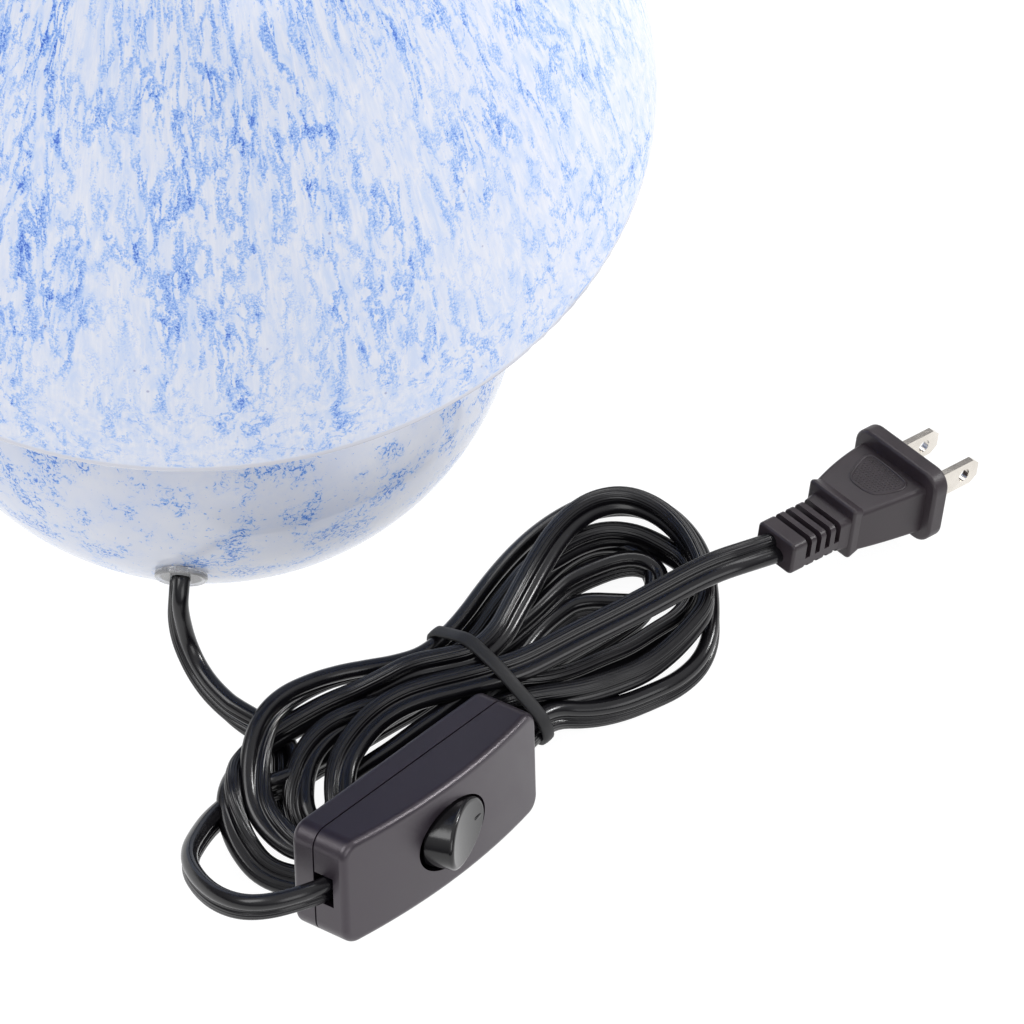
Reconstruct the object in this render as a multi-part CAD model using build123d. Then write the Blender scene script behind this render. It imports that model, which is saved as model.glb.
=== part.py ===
from build123d import *
import os
import math

# ---------------------------------------------------------------------------
# Glass mushroom accent lamp: domed glass cap on a bulb-shaped glass base, flat
# twin cord tied in a hank, in-line rocker switch, two-blade plug.
# Millimetres, +Z up. Origin: on the lamp's axis, on the surface it stands on.
# The cord leaves the base at the front (-Y).
# ---------------------------------------------------------------------------

# --- lamp body -------------------------------------------------------------
FOOT_H = 2.0            # bumper feet under the glass base
BASE_A = 70.2           # widest radius of the glass base
BASE_B = 63.8           # vertical semi-axis of its bulge
BASE_ZC = 39.9          # height of the widest circle
GLASS_T = 4.0           # glass wall
NECK_R = 36.0           # outer radius of the neck
NECK_Z = 106.0          # top of the neck
CAP_R = 99.6            # radius of the cap's rim
CAP_H = 140.0           # rise of the cap above its rim
CAP_M, CAP_N = 1.2, 2.3 # powers of the cap's bell-shaped profile
RIM_Z = 111.3           # height of the cap's rim
TOP_Z = RIM_Z + CAP_H   # overall height

# --- cord ------------------------------------------------------------------
CORD_D = 4.0            # plain round stand-in for the 7.0 x 3.7 flat cord
CORD_W = 7.0
CORD_T = 3.7

# --- in-line switch --------------------------------------------------------
SW_L, SW_W = 65.9, 26.3
SW_BACK = -8.0          # back face
SW_SEAM = -1.7          # parting plane
SW_END = 6.7            # front face at the two ends
SW_MID = 9.9            # front face in the middle
SW_R = 4.0              # corner radius of the outline
SW_WALL = 1.7
ROCK_L, ROCK_W = 19.4, 14.8
ROCK_PZ = 8.0           # rocker pivot height in the switch's own frame
ROCK_TILT = 36.0        # rocker travel, degrees
WIN_L, WIN_W = 22.4, 16.0  # window round the rocker
PIN_R = 0.8

# --- plug ------------------------------------------------------------------
BLADE_SPACING = 12.7
BLADE_W, BLADE_T, BLADE_LEN = 6.35, 1.55, 15.9

# --- frames ----------------------------------------------------------------
SW_C = Vector(48.02, -130.40, 22.71)
SW_X = Vector(0.623, 0.723, -0.298).normalized()
_h = Vector(-0.023, 0.398, 0.917)
SW_H = (_h - SW_X * _h.dot(SW_X)).normalized()
SW_N = SW_X.cross(SW_H).normalized()
SWP = Plane(origin=SW_C, x_dir=SW_X, z_dir=SW_N)

PL_C = Vector(156.37, -34.07, 10.49)
PL_X = Vector(0.7307, 0.6216, -0.2821).normalized()
_v = Vector(0.108, 0.3028, 0.9469)
PL_V = (_v - PL_X * _v.dot(PL_X)).normalized()
PLP = Plane(origin=PL_C, x_dir=PL_X, z_dir=PL_V)


def place(plane, shape):
    return plane.location * shape


def rev(*edges):
    return revolve(make_face(list(edges)), Axis.Z)


def ring(r0, r1, z0, z1):
    out = Pos(0, 0, (z0 + z1) / 2) * Cylinder(r1, z1 - z0)
    if r0 > 0:
        out = out - Pos(0, 0, (z0 + z1) / 2) * Cylinder(r0, z1 - z0 + 1)
    return out


def rbox(x0, x1, y0, y1, z0, z1):
    return Pos((x0 + x1) / 2, (y0 + y1) / 2, (z0 + z1) / 2) * Box(x1 - x0, y1 - y0, z1 - z0)


def soften(shape, edges, radius):
    for k in (1.0, 0.7, 0.4):
        try:
            out = fillet(edges, radius * k)
            if out.is_valid:
                return out
        except Exception:
            continue
    return shape


def pl(points):
    return Polyline(*points)


parts = {}

# ===========================================================================
# Glass base: a blown bulb, closed at the foot, open at the neck
# ===========================================================================


def base_r(z):
    return BASE_A * math.sqrt(1 - ((z - BASE_ZC) / BASE_B) ** 2)


def base_in(z):
    # the inner face: the outer bulge moved in by the wall along its normal
    r = base_r(z)
    nr, nz = r / BASE_A ** 2, (z - BASE_ZC) / BASE_B ** 2
    k = GLASS_T / math.hypot(nr, nz)
    return (r - nr * k, 0, z - nz * k)


def bo(z):
    return (base_r(z), 0, z)


Z_HEEL = 3.6                               # where the rounded heel meets the bulge
heel = bo(Z_HEEL)
NECK_IN = 32.4
floor_z = FOOT_H + GLASS_T
base_outer = [
    Line((0, 0, FOOT_H), (54.5, 0, FOOT_H)),
    ThreePointArc((54.5, 0, FOOT_H), (56.3, 0, 2.42), heel),
    ThreePointArc(heel, bo(12), bo(20)),
    ThreePointArc(bo(20), bo(30), bo(40)),
    ThreePointArc(bo(40), bo(50), bo(60)),
    ThreePointArc(bo(60), bo(70), bo(80)),
    ThreePointArc(bo(80), (49.8, 0, 85), (44.2, 0, 90)),
    ThreePointArc((44.2, 0, 90), (38.9, 0, 96.5), (NECK_R + 0.4, 0, 102.5)),
    ThreePointArc((NECK_R + 0.4, 0, 102.5), (36.1, 0, 104.8), (35.3, 0, NECK_Z)),
]
base_inner = [
    Line((35.3, 0, NECK_Z), (NECK_IN, 0, NECK_Z)),
    Line((NECK_IN, 0, NECK_Z), (NECK_IN, 0, 102.5)),
    ThreePointArc((NECK_IN, 0, 102.5), (35.2, 0, 94.5), base_in(90)),
    ThreePointArc(base_in(90), base_in(85), base_in(80)),
    ThreePointArc(base_in(80), base_in(70), base_in(60)),
    ThreePointArc(base_in(60), base_in(50), base_in(40)),
    ThreePointArc(base_in(40), base_in(30), base_in(20)),
    ThreePointArc(base_in(20), base_in(12), base_in(5.0)),
    Line(base_in(5.0), (0, 0, base_in(5.0)[2])),
    Line((0, 0, base_in(5.0)[2]), (0, 0, FOOT_H)),
]
base = rev(*base_outer, *base_inner)

# cord hole, low at the front, a little to the left; its axis is square to the glass
HOLE_Z = 22.7
hole_dir = Vector(-0.0636, -0.9535, -0.2944).normalized()
hole_out = Vector(-4.5, -67.45, HOLE_Z)             # on the glass's outer face
GRP = Plane(origin=hole_out, x_dir=Vector(0.9535, -0.0636, 0).normalized(), z_dir=hole_dir)
base = base - place(GRP, Cylinder(4.7, 24))
parts["base_glass"] = base

# four clear bumper feet under the glass
feet = []
for a in (45, 135, 225, 315):
    f = Pos(40 * math.cos(math.radians(a)), 40 * math.sin(math.radians(a)), FOOT_H / 2) * Cylinder(5, FOOT_H)
    feet.append(f)
parts["bumper_feet"] = Compound(children=feet)

# clear grommet: flange outside, snap lip inside, flat slot for the cord
fl = Pos(0, 0, 0.95) * Cylinder(5.9, 1.3)
fl = soften(fl, fl.edges().filter_by(lambda e: e.center().Z > 1.5), 0.5)
gr = place(GRP, fl + Pos(0, 0, -3.0) * Cylinder(4.6, 9.0))
slot = extrude(Pos(0, 0, -12) * Rot(0, 0, 90) * SlotOverall(CORD_W + 0.5, CORD_T + 0.5), 24)
gr = gr - place(GRP, slot)
gr = gr - base
parts["cord_grommet"] = gr.solids().sort_by(SortBy.VOLUME)[-1]

# ===========================================================================
# Glass cap: a tall rounded bell of even wall with a rounded rim
# ===========================================================================


def cap_point(deg, depth):
    # profile (r/R)^n + (z/h)^m = 1, moved in by depth along its normal
    c, s = math.cos(math.radians(deg)), math.sin(math.radians(deg))
    r, u = max(c, 0.0) ** (2 / CAP_N), s ** (2 / CAP_M)
    nr, nz = CAP_N * r ** (CAP_N - 1) / CAP_R, CAP_M * u ** (CAP_M - 1) / CAP_H
    if deg >= 90:
        r, nr = 0.0, 0.0
    k = depth / math.hypot(nr, nz)
    return (CAP_R * r - nr * k, 0, RIM_Z + CAP_H * u - nz * k)


def cap_curve(depth):
    pts = [cap_point(d, depth) for d in (0, 9, 18, 27, 36, 45, 54, 62, 70, 77, 83, 90)]
    return Spline(*pts, tangents=[(0, 0, 1), (-1, 0, 0)]), pts[0]


oc, op = cap_curve(0.0)
ic, icp = cap_curve(GLASS_T)
rim_mid = ((op[0] + icp[0]) / 2 + 0.25, 0, RIM_Z - 2.1)
cap = rev(
    oc,
    Line((0, 0, TOP_Z), (0, 0, TOP_Z - GLASS_T)),
    ic,
    ThreePointArc(icp, rim_mid, op),
)
parts["cap_glass"] = cap

# ===========================================================================
# Neck fittings
# ===========================================================================
Z_FL = NECK_Z + 1.2                       # under side of the neck cap's flange
gasket = ring(31.0, 35.0, NECK_Z, Z_FL)
parts["neck_gasket"] = gasket

WELL_R, WELL_Z = 18.0, 92.0
neck_cap = rev(pl([(5.0, 0, WELL_Z), (WELL_R, 0, WELL_Z), (WELL_R, 0, Z_FL), (38.2, 0, Z_FL),
                   (38.2, 0, Z_FL + 1.4), (WELL_R - 1.2, 0, Z_FL + 1.4), (WELL_R - 1.2, 0, WELL_Z + 1.4),
                   (5.0, 0, WELL_Z + 1.4), (5.0, 0, WELL_Z)]))
skirt = ring(37.2, 38.2, Z_FL - 4.5, Z_FL)
neck_cap = neck_cap + skirt

# cap carrier: ring with three rising arms, screwed to the neck cap
Z_CAR = Z_FL + 1.4
CAR_T = 1.6
carrier = ring(20.0, 32.0, Z_CAR, Z_CAR + CAR_T)
arm_pts = [(28.0, Z_CAR), (40.0, Z_CAR), (80.2, 144.8)]


def arm_strip(points, width, thick):
    (x0, z0), (x1, z1), (x2, z2) = points
    d1 = Vector(x2 - x1, 0, z2 - z1).normalized()
    nrm = Vector(-d1.Z, 0, d1.X)
    half = math.atan2(d1.Z, d1.X) / 2
    off = thick * math.tan(half)
    poly = [(x0, 0, z0), (x1, 0, z1), (x2, 0, z2),
            (x2 + nrm.X * thick, 0, z2 + nrm.Z * thick), (x1 - off, 0, z1 + thick), (x0, 0, z0 + thick), (x0, 0, z0)]
    return extrude(make_face(pl(poly)), width / 2, both=True)


arm = arm_strip(arm_pts, 9.0, CAR_T)
ARM_AZ = (90, 210, 330)
for a in ARM_AZ:
    carrier = carrier + Rot(0, 0, a) * arm
# screw holes
SCR_AZ = (30, 150, 270)
for a in SCR_AZ:
    h = Rot(0, 0, a) * Pos(26, 0, Z_CAR) * Cylinder(1.6, 12)
    carrier = carrier - h
    neck_cap = neck_cap - h
parts["neck_cap"] = neck_cap
parts["cap_carrier"] = carrier

# screws that hold the carrier to the neck cap, with nuts underneath
cs, cn = [], []
for a in SCR_AZ:
    s = Pos(26, 0, Z_CAR + CAR_T + 0.9) * Cylinder(2.8, 1.8) + Pos(26, 0, Z_CAR - 1.4) * Cylinder(1.5, 6.0)
    s = s - Pos(26, 0, Z_CAR + CAR_T + 1.6) * Box(4.2, 0.8, 1.2)
    cs.append(Rot(0, 0, a) * s)
    n = Pos(26, 0, Z_FL - 1.2) * (extrude(RegularPolygon(2.7, 6), 1.2) - Cylinder(1.5, 8))
    cn.append(Rot(0, 0, a) * n)
parts["carrier_screws"] = Compound(children=cs)
parts["carrier_nuts"] = Compound(children=cn)

# soft tips on the arms: the cap rests on them
tips = []
tip_deg = 27.0                            # where on the profile the tips bear
(tr, _, tz), (gx, _, gz) = cap_point(tip_deg, GLASS_T), cap_point(tip_deg, GLASS_T + 1.0)
nx, nz = tr - gx, tz - gz
TIP_R, TIP_GAP = 4.2, 0.3
tcx, tcz = tr - nx * (TIP_R + TIP_GAP), tz - nz * (TIP_R + TIP_GAP)
for a in ARM_AZ:
    t = Rot(0, 0, a) * Pos(tcx, 0, tcz) * Sphere(TIP_R)
    t = t - carrier
    tips.append(t.solids().sort_by(SortBy.VOLUME)[-1])
parts["carrier_tips"] = Compound(children=tips)

# threaded nipple, cross bar below the neck, nuts and washers
nip = ring(3.4, 4.85, 77.0, 99.5)
parts["threaded_nipple"] = nip
BAR_Z = 85.0
bar = rbox(-35.4, 35.4, -6.0, 6.0, BAR_Z, BAR_Z + 3.0)
bar = bar - Pos(0, 0, BAR_Z) * Cylinder(5.1, 20)
BAR_AZ = 37.0
parts["cross_bar"] = Rot(0, 0, BAR_AZ) * bar
sleeve = Pos(-33.9, 0, BAR_Z + 1.5) * Box(7.0, 15.0, 6.0) - Pos(-32.4, 0, BAR_Z + 1.5) * Box(6.0, 12.0, 3.0)
sl = [Rot(0, 0, BAR_AZ) * sleeve, Rot(0, 0, BAR_AZ + 180) * sleeve]
parts["bar_sleeves"] = Compound(children=sl)
spacer = ring(5.2, 8.5, BAR_Z + 3.0, WELL_Z)
parts["bar_spacer"] = spacer
washer = ring(5.1, 9.0, BAR_Z - 1.2, BAR_Z)
parts["nipple_washer"] = washer
nut = Pos(0, 0, BAR_Z - 5.4) * (extrude(RegularPolygon(8.1, 6), 4.2) - Pos(0, 0, 2) * Cylinder(4.85, 20))
parts["nipple_nut"] = nut

# ===========================================================================
# Socket (small screw base) in the neck cap's well
# ===========================================================================
Z_S = WELL_Z + 1.4                        # seat
sbase = ring(4.85, 12.5, Z_S, Z_S + 3.0) + ring(11.5, 12.5, Z_S + 3.0, Z_S + 8.0)
parts["socket_base"] = sbase
ins = ring(0, 11.3, Z_S + 6.2, Z_S + 27.0) - ring(0, 8.0, Z_S + 9.4, Z_S + 30.0)
ins = ins - Pos(8.2, 0, Z_S + 7.6) * Cylinder(1.2, 3.2) - Pos(-8.2, 0, Z_S + 7.6) * Cylinder(1.2, 3.2)
parts["socket_insulator"] = ins
shell = ring(6.5, 7.1, Z_S + 9.4, Z_S + 26.0) + ring(4.6, 7.1, Z_S + 9.4, Z_S + 9.9)
parts["socket_screw_shell"] = shell
ct = ring(0, 2.0, Z_S + 9.4, Z_S + 10.6)
parts["socket_centre_contact"] = ct
ts = []
for s in (-1, 1):
    ts.append(Pos(s * 8.2, 0, Z_S + 5.2) * Cylinder(2.0, 1.6) + Pos(s * 8.2, 0, Z_S + 7.4) * Cylinder(1.15, 3.2))
parts["socket_terminal_screws"] = Compound(children=ts)

# ===========================================================================
# Bulb
# ===========================================================================
Z_B = Z_S + 10.9
parts["bulb_tip"] = ring(0, 1.9, Z_B, Z_B + 1.2)
parts["bulb_insulator"] = rev(pl([(0, 0, Z_B + 1.2), (2.6, 0, Z_B + 1.2), (5.2, 0, Z_B + 3.6), (0, 0, Z_B + 3.6), (0, 0, Z_B + 1.2)]))
parts["bulb_screw_cap"] = ring(5.3, 6.1, Z_B + 3.6, Z_B + 18.0) + ring(0, 6.1, Z_B + 3.6, Z_B + 4.2)
Z_G = Z_B + 41.0
GR = 17.0
neck_z = Z_B + 18.0
ga = math.asin(6.6 / GR)
gpz = Z_G - GR * math.cos(ga)


def globe(r_off):
    rr = GR - r_off
    nr = 6.6 - r_off
    zz = Z_G - math.sqrt(rr * rr - nr * nr)
    return rr, nr, zz


r1, n1, z1 = globe(0)
r2, n2, z2 = globe(0.9)
env = rev(
    Line((n2, 0, neck_z), (n1, 0, neck_z)),
    Line((n1, 0, neck_z), (n1, 0, z1)),
    ThreePointArc((n1, 0, z1), (r1, 0, Z_G), (0, 0, Z_G + r1)),
    Line((0, 0, Z_G + r1), (0, 0, Z_G + r2)),
    ThreePointArc((0, 0, Z_G + r2), (r2, 0, Z_G), (n2, 0, z2)),
    Line((n2, 0, z2), (n2, 0, neck_z)),
)
parts["bulb_envelope"] = env
src = ring(0, 4.4, Z_B + 4.2, Z_B + 22.0) + ring(0, 2.6, Z_B + 22.0, Z_B + 44.0)
parts["bulb_light_engine"] = src

# ===========================================================================
# In-line switch, in its own frame: x along its length, y across, z out of its face
# ===========================================================================


def face_arc(drop, l=SW_L / 2 + 2):
    # prism under the bowed front face, lowered by drop
    k = (SW_MID - SW_END) / (SW_L / 2) ** 2
    zl = SW_MID - k * l * l - drop
    f = make_face([ThreePointArc((-l, 0, zl), (0, 0, SW_MID - drop), (l, 0, zl)),
                   pl([(l, 0, zl), (l, 0, -30), (-l, 0, -30), (-l, 0, zl)])])
    return extrude(f, 30, both=True)


def outline(inset, z0, z1):
    return Pos(0, 0, z0) * extrude(RectangleRounded(SW_L - 2 * inset, SW_W - 2 * inset, SW_R - inset), z1 - z0)


front_o = outline(0, SW_SEAM, 14) & face_arc(0)
front_o = soften(front_o, front_o.edges().filter_by(lambda e: e.center().Z > SW_SEAM + 6.0 and e.length > 2), 1.7)
front_i = outline(SW_WALL, SW_SEAM - 1, 14) & face_arc(SW_WALL)
front = front_o - front_i

rock_win = extrude(Ellipse(WIN_L / 2, WIN_W / 2), 14)
front = front - rock_win
# bearing bosses for the rocker pin
for s in (-1, 1):
    boss = rbox(-3.0, 3.0, s * 9.5 - 1.2, s * 9.5 + 1.2, ROCK_PZ - 2.6, ROCK_PZ + 1.0) & face_arc(SW_WALL * 0.5)
    front = front + boss
pin_hole = Pos(0, 0, ROCK_PZ) * Rot(90, 0, 0) * Cylinder(PIN_R, 20.0)
front = front - pin_hole
# screw bosses in the front shell
SCREW_X = 23.0
for s in (-1, 1):
    b = (Pos(s * SCREW_X, 7.0, 0) * extrude(Circle(2.9), 12)) & face_arc(SW_WALL * 0.5)
    front = front + b
    front = front - Pos(s * SCREW_X, 7.0, 1.0) * Cylinder(1.0, 8.0)
# cord entries at both ends, half in each shell
ENTRY_Z = 0.9
entry = Pos(0, 0, 0.8) * Box(SW_L + 8, CORD_W + 0.5, 5.4)
front = front - entry
# shadow line round the parting plane
groove = outline(-2, SW_SEAM - 0.2, SW_SEAM + 0.2) - outline(0.4, SW_SEAM - 1, SW_SEAM + 1)
front = front - groove

back_o = outline(0, SW_BACK, SW_SEAM)
back_o = soften(back_o, back_o.edges().filter_by(lambda e: e.center().Z < SW_BACK + 0.1), 1.6)
back_i = outline(SW_WALL, SW_BACK + SW_WALL, SW_SEAM + 1)
back = back_o - back_i
for s in (-1, 1):
    back = back + Pos(s * SCREW_X, 7.0, SW_BACK + 0.2) * extrude(Circle(3.4), SW_SEAM - SW_BACK - 0.2)
for s in (-1, 1):
    back = back - Pos(s * SCREW_X, 7.0, SW_BACK) * Cylinder(1.35, 30) - Pos(s * SCREW_X, 7.0, SW_BACK) * Cylinder(2.5, 5.0)
back = back - entry - groove

screws = []
for s in (-1, 1):
    sc = Pos(s * SCREW_X, 7.0, SW_BACK + 1.6) * Cylinder(2.3, 1.8) + Pos(s * SCREW_X, 7.0, SW_BACK + 6.75) * Cylinder(1.0, 8.5)
    sc = sc - Pos(s * SCREW_X, 7.0, SW_BACK + 0.7) * Box(3.6, 0.7, 1.2)
    screws.append(place(SWP, sc))
# rocker: oval block with a hollowed top; it rests tipped to its right, where its end lies flush
RIM_H, DIP = 5.23, 0.8     # rim above the pin, hollow of the top
hl = ROCK_L / 2 + 1
rim = RIM_H + DIP * ((hl / (ROCK_L / 2)) ** 2 - 1)
prof = make_face([ThreePointArc((-hl, 0, rim), (0, 0, RIM_H - DIP), (hl, 0, rim)),
                  pl([(hl, 0, rim), (hl, 0, -1.5), (6.2, 0, -1.9), (2.2, 0, -4.4), (-2.2, 0, -4.4), (-6.2, 0, -1.9), (-hl, 0, -1.5),
                      (-hl, 0, rim)])])
rocker = extrude(prof, 10, both=True) & Pos(0, 0, -8) * extrude(Ellipse(ROCK_L / 2, ROCK_W / 2), 20)
rocker = soften(rocker, rocker.edges().filter_by(lambda e: e.center().Z > 2.0), 0.9)
rocker = Pos(0, 0, ROCK_PZ) * rocker
rocker = Pos(0, 0, ROCK_PZ) * Rot(0, ROCK_TILT / 2, 0) * Pos(0, 0, -ROCK_PZ) * rocker
rocker = rocker - Pos(0, 0, ROCK_PZ) * Rot(90, 0, 0) * Cylinder(PIN_R + 0.06, 30)
pin = Pos(0, 0, ROCK_PZ) * Rot(90, 0, 0) * Cylinder(PIN_R, 20.0)

# contacts: centre post the see-saw rocks on, and two side contacts
SEE_Z = 1.4
SEE_TILT = -7.2
see = rbox(-6.6, 6.6, -2.6, 2.6, SEE_Z - 0.4, SEE_Z + 0.4)
# round rib it rocks on, on the pivot line
see = see + Pos(0, 0, SEE_Z) * Rot(90, 0, 0) * Cylinder(0.65, 5.2)
see = Pos(0, 0, SEE_Z) * Rot(0, SEE_TILT, 0) * Pos(0, 0, -SEE_Z) * see
posts = []
zb = SW_BACK + SW_WALL
posts.append(rbox(-1.0, 1.0, -3.4, 3.4, zb, SEE_Z - 0.95))
for s in (-1, 1):
    posts.append(rbox(s * 5.6 - 1.4, s * 5.6 + 1.4, -3.4, 3.4, zb, SEE_Z - 1.8))
# cord terminals: blocks the conductors end at
for s in (-1, 1):
    posts.append(rbox(s * 23.5 - 2.5, s * 23.5 + 2.5, -3.6, 3.6, zb, ENTRY_Z + 2.2))
for q, nm in ((front, "switch_front_shell"), (back, "switch_back_shell"), (rocker, "switch_rocker"),
              (pin, "rocker_pin"), (see, "contact_seesaw")):
    parts[nm] = place(SWP, q)
parts["switch_contacts"] = Compound(children=[place(SWP, q) for q in posts])
parts["switch_screws"] = Compound(children=screws)

# ===========================================================================
# Plug, in its own frame: x towards the blades, z up, origin on the front face
# ===========================================================================


def yz(w, h, r, x, dz=0.0, dy=0.0):
    return Plane(origin=(x, dy, dz), x_dir=(0, 1, 0), z_dir=(1, 0, 0)) * RectangleRounded(w, h, r)


flange = extrude(yz(25.6, 18.8, 4.3, -4.4, -0.3), 4.4)
flange = soften(flange, flange.edges().filter_by(lambda e: abs(e.center().X) < 0.01 or abs(e.center().X + 4.4) < 0.01), 0.8)
body = loft([yz(14.4, 10.6, 0.9, -22.0, -1.5, 0.6), yz(18.6, 11.9, 1.0, -12.5, -1.1, 0.6), yz(20.8, 12.6, 1.1, -3.6, -0.9, 0.2)])
should = loft([yz(14.6, 14.4, 1.2, -23.6, -1.4, 0.5), yz(14.8, 10.9, 1.0, -20.0, -1.5, 0.6)])
should = soften(should, should.edges().filter_by(lambda e: abs(e.center().X + 23.6) < 0.01), 0.7)
neck = loft([yz(11.6, 8.2, 1.3, -26.6, -1.4), yz(12.6, 8.8, 1.2, -23.2, -1.4)])
relief = loft([yz(11.6, 8.2, 1.4, -41.0, -1.2), yz(11.6, 8.2, 1.4, -26.2, -1.4)])
relief = soften(relief, relief.edges().filter_by(lambda e: abs(e.center().X + 41.0) < 0.01), 0.7)
plug = flange + body + should + neck + relief
for i in range(4):
    gx = -36.2 + 3.0 * i
    # slots over the top and half way down the sides, notches along the under side
    plug = plug - Pos(gx, 0, 0) * (rbox(-0.75, 0.75, -8, 8, -2.2, 6) - rbox(-2, 2, -3.6, 3.6, -3.4, 0.7))
    plug = plug - Pos(gx, 0, 0) * rbox(-0.75, 0.75, -8, 8, -9, -4.1)
blades = []
for s in (-1, 1):
    prof_b = pl([(-12, s * BLADE_SPACING / 2, -BLADE_W / 2), (BLADE_LEN - 1.9, s * BLADE_SPACING / 2, -BLADE_W / 2),
                 (BLADE_LEN, s * BLADE_SPACING / 2, -BLADE_W / 2 + 1.5), (BLADE_LEN, s * BLADE_SPACING / 2, BLADE_W / 2 - 1.5),
                 (BLADE_LEN - 1.9, s * BLADE_SPACING / 2, BLADE_W / 2), (-12, s * BLADE_SPACING / 2, BLADE_W / 2),
                 (-12, s * BLADE_SPACING / 2, -BLADE_W / 2)])
    bl = extrude(make_face(prof_b), BLADE_T / 2, both=True)
    bl = bl - Pos(11.5, s * BLADE_SPACING / 2, 0) * Rot(90, 0, 0) * Cylinder(1.6, 10)
    blades.append(bl)
    plug = plug - rbox(-12, 1, s * BLADE_SPACING / 2 - BLADE_T / 2, s * BLADE_SPACING / 2 + BLADE_T / 2, -BLADE_W / 2, BLADE_W / 2)
parts["plug_body"] = place(PLP, plug)
parts["plug_blades"] = Compound(children=[place(PLP, b) for b in blades])

# ===========================================================================
# Cord routes (plain round tubes) and the hank
# ===========================================================================


def swl(x, y, z):
    v = SW_C + SW_X * x + SW_H * y + SW_N * z
    return (v.X, v.Y, v.Z)


def pll(x, y, z):
    yv = PL_V.cross(PL_X)
    v = PL_C + PL_X * x + yv * y + PL_V * z
    return (v.X, v.Y, v.Z)


def grl(z):
    v = hole_out + hole_dir * z
    return (v.X, v.Y, v.Z)


def route(name, pts, d=CORD_D, bend=0.45):
    v = [Vector(*p) for p in pts]
    radii, turns = [], []
    for a, b, c in zip(v, v[1:], v[2:]):
        t = (b - a).get_angle(c - b)
        run = min((b - a).length, (c - b).length)
        radii.append(bend * run / math.tan(math.radians(t) / 2))
        turns.append(t)
    path = FilletPolyline(*pts, radius=radii)
    start = path.position_at(0)
    tan = path.tangent_at(0)
    prof = Plane(origin=start, z_dir=tan) * Circle(d / 2)
    tube = sweep(prof, path=path)
    print(name, "length %.1f" % path.length, "volume ratio %.4f" % (tube.volume / (math.pi * d * d / 4 * path.length)))
    print("   radii", [round(r, 1) for r in radii], "turns", [round(t) for t in turns])
    return tube


LAMP_LEAD = [grl(1.0), grl(5.6), (-5.3, -74.6, 10.6), (-2.4, -79.8, 4.8), (1.8, -86.2, 2.7), (7.2, -91.9, 2.2), (11.8, -94.6, 2.1),
             (17.0, -96.4, 2.1)]
INNER = [grl(1.0), grl(-8.0), (-3.2, -45.5, 29.0), (-2.0, -32.5, 34.0), (-0.6, -20.0, 42.5), (0.2, -9.5, 53.5),
         (0.3, -2.4, 66.0), (0, 0, 77.0)]
SWITCH_LEAD = [(9.8, -111.4, 3.4), (4.6, -118.6, 5.8), (0.4, -128.0, 11.2), (-1.1, -138.0, 17.8), (2.6, -149.6, 25.4),
               (8.8, -157.0, 30.8), (16.2, -159.3, 33.9), swl(-40.0, 0, ENTRY_Z), swl(-31.0, 0, ENTRY_Z)]
SWITCH_OUT = [swl(31.0, 0, ENTRY_Z), swl(38.5, 0, ENTRY_Z), (79.6, -97.2, 6.2), (87.4, -95.2, 4.2), (95.5, -93.4, 3.8)]
PLUG_LEAD = [(69.5, -87.6, 18.0), (80.5, -83.4, 20.6), (92.5, -78.0, 23.2), (103.5, -73.2, 25.2), (111.5, -69.6, 26.3),
             pll(-47.8, 0, -0.8), pll(-41.0, 0, -1.2)]

lamp_lead = route("lamp lead", LAMP_LEAD)
inner = route("inner cord", INNER)
switch_lead = route("switch lead", SWITCH_LEAD)
switch_out = route("switch out", SWITCH_OUT)
plug_lead = route("plug lead", PLUG_LEAD)
parts["cord_lamp_lead"] = lamp_lead
parts["cord_inner"] = inner
parts["cord_switch_lead"] = switch_lead
parts["cord_switch_out"] = switch_out
parts["cord_plug_lead"] = plug_lead

# hank: two lobes of folded cord and a tied waist
WAIST = Vector(62.2, -86.8, 10.8)
AX = Vector(0.714, 0.70, 0).normalized()
WPL = Plane(origin=WAIST, x_dir=AX.cross(Vector(0, 0, 1)), z_dir=AX)
LEFT = [(50.6, -79.2), (33, -79.5), (17.5, -90.5), (6.5, -101), (1.5, -114), (2.5, -125), (9, -135.5), (20, -141.0),
        (30, -138), (41, -126.5), (52, -114), (62, -104.5), (69.6, -98.6)]
RIGHT = [(73.8, -94.4), (80, -100.5), (98, -98.0), (113, -89), (117.5, -75), (117, -66), (116, -54), (112, -43),
         (103, -35), (93, -32), (82, -34.5), (66, -50), (56, -66), (54.8, -75.0)]
BAND_W = 2.6


def lobe(poly, z0, z1):
    return Pos(0, 0, z0) * extrude(make_face(pl(poly + [poly[0]])), z1 - z0)


hank = lobe(LEFT, 0.6, 12.5) + lobe(RIGHT, 0.6, 14.0)
hank = hank + place(WPL, Pos(0, 0, -9) * extrude(Ellipse(13.2, 9.8), 18))
band = place(WPL, Pos(0, 0, -BAND_W / 2) * extrude(Ellipse(14.4, 10.6) - Ellipse(13.25, 9.85), BAND_W))
clear = outline(-0.8, SW_BACK - 0.8, SW_MID + 5)
hank = hank - place(SWP, clear) - band
for t in (lamp_lead, switch_lead, switch_out, plug_lead):
    hank = hank - t
parts["cord_hank"] = hank.solids().sort_by(SortBy.VOLUME)[-1]
parts["hank_band"] = band

os.makedirs("parts", exist_ok=True)
for name, shape in parts.items():
    export_step(shape, "parts/%s.step" % name)
print(len(parts), "nodes")
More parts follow.
